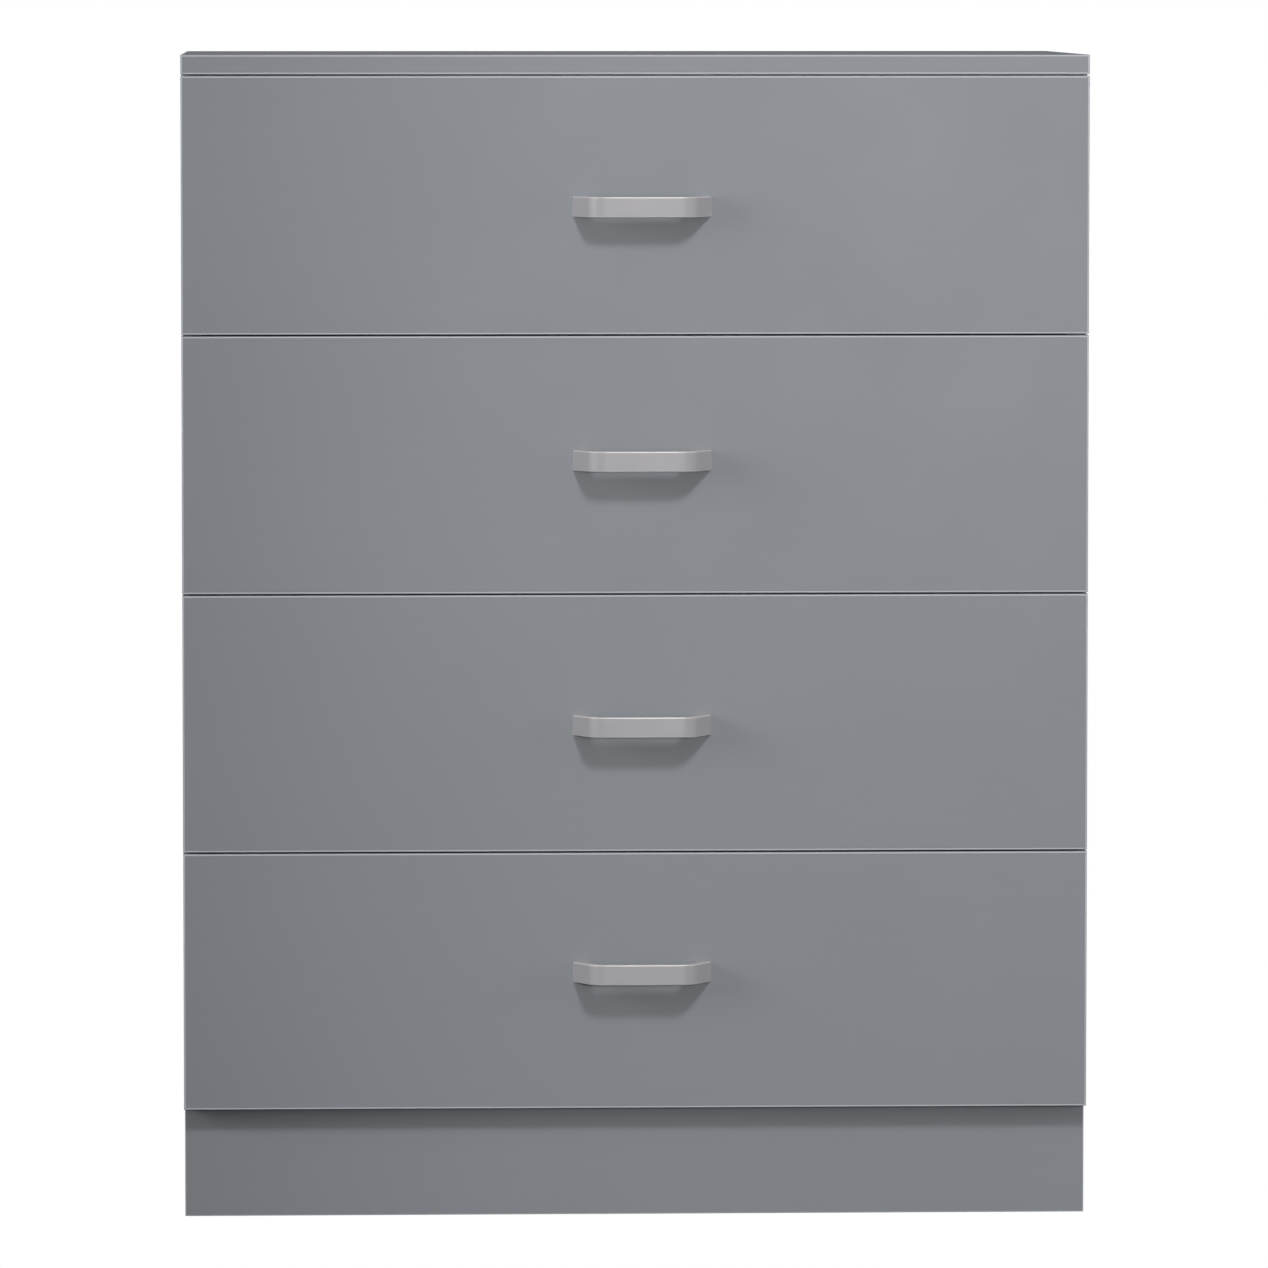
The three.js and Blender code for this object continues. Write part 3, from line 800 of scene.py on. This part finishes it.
def glide(node):
    """A domed plastic glide, with the nail head that holds it sunk in its sole."""
    low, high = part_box(node)
    radius = (high.x - low.x) / 2
    height = high.z - low.z
    profile = [(0, 0.5 * MM), (1.7 * MM, 0.5 * MM), (2.0 * MM, 0.1 * MM), (2.3 * MM, 0), (GLIDE_SOLE, 0),
               (radius - 0.9 * MM, 0.2 * MM), (radius - 0.2 * MM, 0.7 * MM), (radius, 1.1 * MM),
               (radius, height), (0, height)]
    bm = bmesh.new()
    add_lathe(bm, profile, ((low.x + high.x) / 2, (low.y + high.y) / 2, 0), (0, 0, 1), 48)
    place(f"{node}_foot", finished(bm, node), "carcass", (GLIDE,), (node,))


for end in ("front", "rear"):
    for side in SIDES:
        glide(f"glide_{end}_{side}")


# ---- Studio ----------------------------------------------------------------------------------------

FLOOR_SIZE = 60
FLOOR_LEVEL = -0.2 * MM  # just clear of the glides
FLOOR_GREY = 0.11  # as the chest sees it
WORLD_STRENGTH = 0.23
WHITE = 1.0  # strength of the world, as the camera sees it

FRONT_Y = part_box("drawer_1_front")[0].y
FRONT_MIDDLE = (0, FRONT_Y, 0.5)
CHEST_MIDDLE = (0, -0.1, 0.5)
REAR_MIDDLE = (0, 0.1, 0.45)
# Each area light's place, target, diameter and watts.
AREA_LIGHTS = {
    "key": ((0.62, -2.75, 3.0), FRONT_MIDDLE, 0.6, 53),
    "left": ((-3.2, -1.4, 1.3), CHEST_MIDDLE, 1.6, 46),
    "right": ((3.4, -1.3, 0.9), CHEST_MIDDLE, 1.6, 17),
    "fill": ((0.9, -3.2, 0.7), (0.1, FRONT_Y, 0.5), 1.4, 5),
    "rear_left": ((-2.4, 1.7, 0.55), REAR_MIDDLE, 0.8, 45),
    "rear_right": ((2.4, 1.7, 0.55), REAR_MIDDLE, 0.8, 45),
}
SPOT = {"place": (0.6, -5.0, 0.9), "target": (0.5, FRONT_Y, 0.47), "cone": 21, "blend": 0.5,
        "radius": 0.2, "stretch": 3, "watts": 164}

CAMERA_PLACE = (-0.256, -7.0, 0.9532)
CAMERA_YAW = 0.03734  # to the right of +Y, in radians
CAMERA_PITCH = -0.07295
SENSOR_WIDTH = 36  # millimetres, as the focal length is
FOCAL_LENGTH = 251.23


def studio_floor():
    """A large grey floor that the camera sees as plain white."""
    bm = bmesh.new()
    half = FLOOR_SIZE / 2
    corners = [(-half, -half), (half, -half), (half, half), (-half, half)]
    bm.faces.new([bm.verts.new((x, y, FLOOR_LEVEL)) for x, y in corners])
    mesh = bpy.data.meshes.new("studio_floor")
    bm.to_mesh(mesh)
    bm.free()
    material, nodes, links, shader = new_material("studio_floor")
    shader.inputs["Base Color"].default_value = (FLOOR_GREY, FLOOR_GREY, FLOOR_GREY, 1)
    shader.inputs["Roughness"].default_value = 0.9
    shader.inputs["Specular IOR Level"].default_value = 0.0
    white = nodes.new("ShaderNodeEmission")
    path = nodes.new("ShaderNodeLightPath")
    seen = nodes.new("ShaderNodeMixShader")
    links.new(path.outputs["Is Camera Ray"], seen.inputs["Fac"])
    links.new(shader.outputs["BSDF"], seen.inputs[1])
    links.new(white.outputs["Emission"], seen.inputs[2])
    links.new(seen.outputs["Shader"], nodes["Material Output"].inputs["Surface"])
    mesh.materials.append(material)
    floor = bpy.data.objects.new("studio_floor", mesh)
    bpy.context.scene.collection.objects.link(floor)


def world_light():
    """Even white light, which the camera sees as plain white."""
    world = bpy.data.worlds.new("studio")
    bpy.context.scene.world = world
    world.use_nodes = True
    nodes, links = world.node_tree.nodes, world.node_tree.links
    background = nodes["Background"]
    background.inputs["Color"].default_value = (1, 1, 1, 1)
    path = nodes.new("ShaderNodeLightPath")
    level = nodes.new("ShaderNodeMapRange")
    level.inputs["To Min"].default_value = WORLD_STRENGTH
    level.inputs["To Max"].default_value = WHITE
    links.new(path.outputs["Is Camera Ray"], level.inputs["Value"])
    links.new(level.outputs["Result"], background.inputs["Strength"])


def aimed(name, data, location, target):
    """The light or camera data as an object at location that looks at target."""
    obj = bpy.data.objects.new(name, data)
    bpy.context.scene.collection.objects.link(obj)
    obj.location = location
    obj.rotation_euler = (Vector(target) - Vector(location)).to_track_quat("-Z", "Y").to_euler()
    return obj


def area_light(name, location, target, size, watts):
    light = bpy.data.lights.new(name, "AREA")
    light.shape = "DISK"
    light.size = size
    light.energy = watts
    aimed(name, light, location, target)


def front_spot():
    """A soft upright oval of light on the right of the chest, over its full height."""
    light = bpy.data.lights.new("front", "SPOT")
    light.spot_size = math.radians(SPOT["cone"])
    light.spot_blend = SPOT["blend"]
    light.energy = SPOT["watts"]
    light.shadow_soft_size = SPOT["radius"]
    spot = aimed("front", light, SPOT["place"], SPOT["target"])
    spot.scale = (1, SPOT["stretch"], 1)


def studio_camera():
    data = bpy.data.cameras.new("camera")
    data.sensor_width = SENSOR_WIDTH
    data.lens = FOCAL_LENGTH
    data.clip_end = 100
    level = math.cos(CAMERA_PITCH)
    look = Vector((math.sin(CAMERA_YAW) * level, math.cos(CAMERA_YAW) * level, math.sin(CAMERA_PITCH)))
    bpy.context.scene.camera = aimed("camera", data, CAMERA_PLACE, Vector(CAMERA_PLACE) + look)


studio_floor()
world_light()
for name, settings in AREA_LIGHTS.items():
    area_light(name, *settings)
front_spot()
studio_camera()
bpy.context.scene.view_settings.view_transform = "Standard"
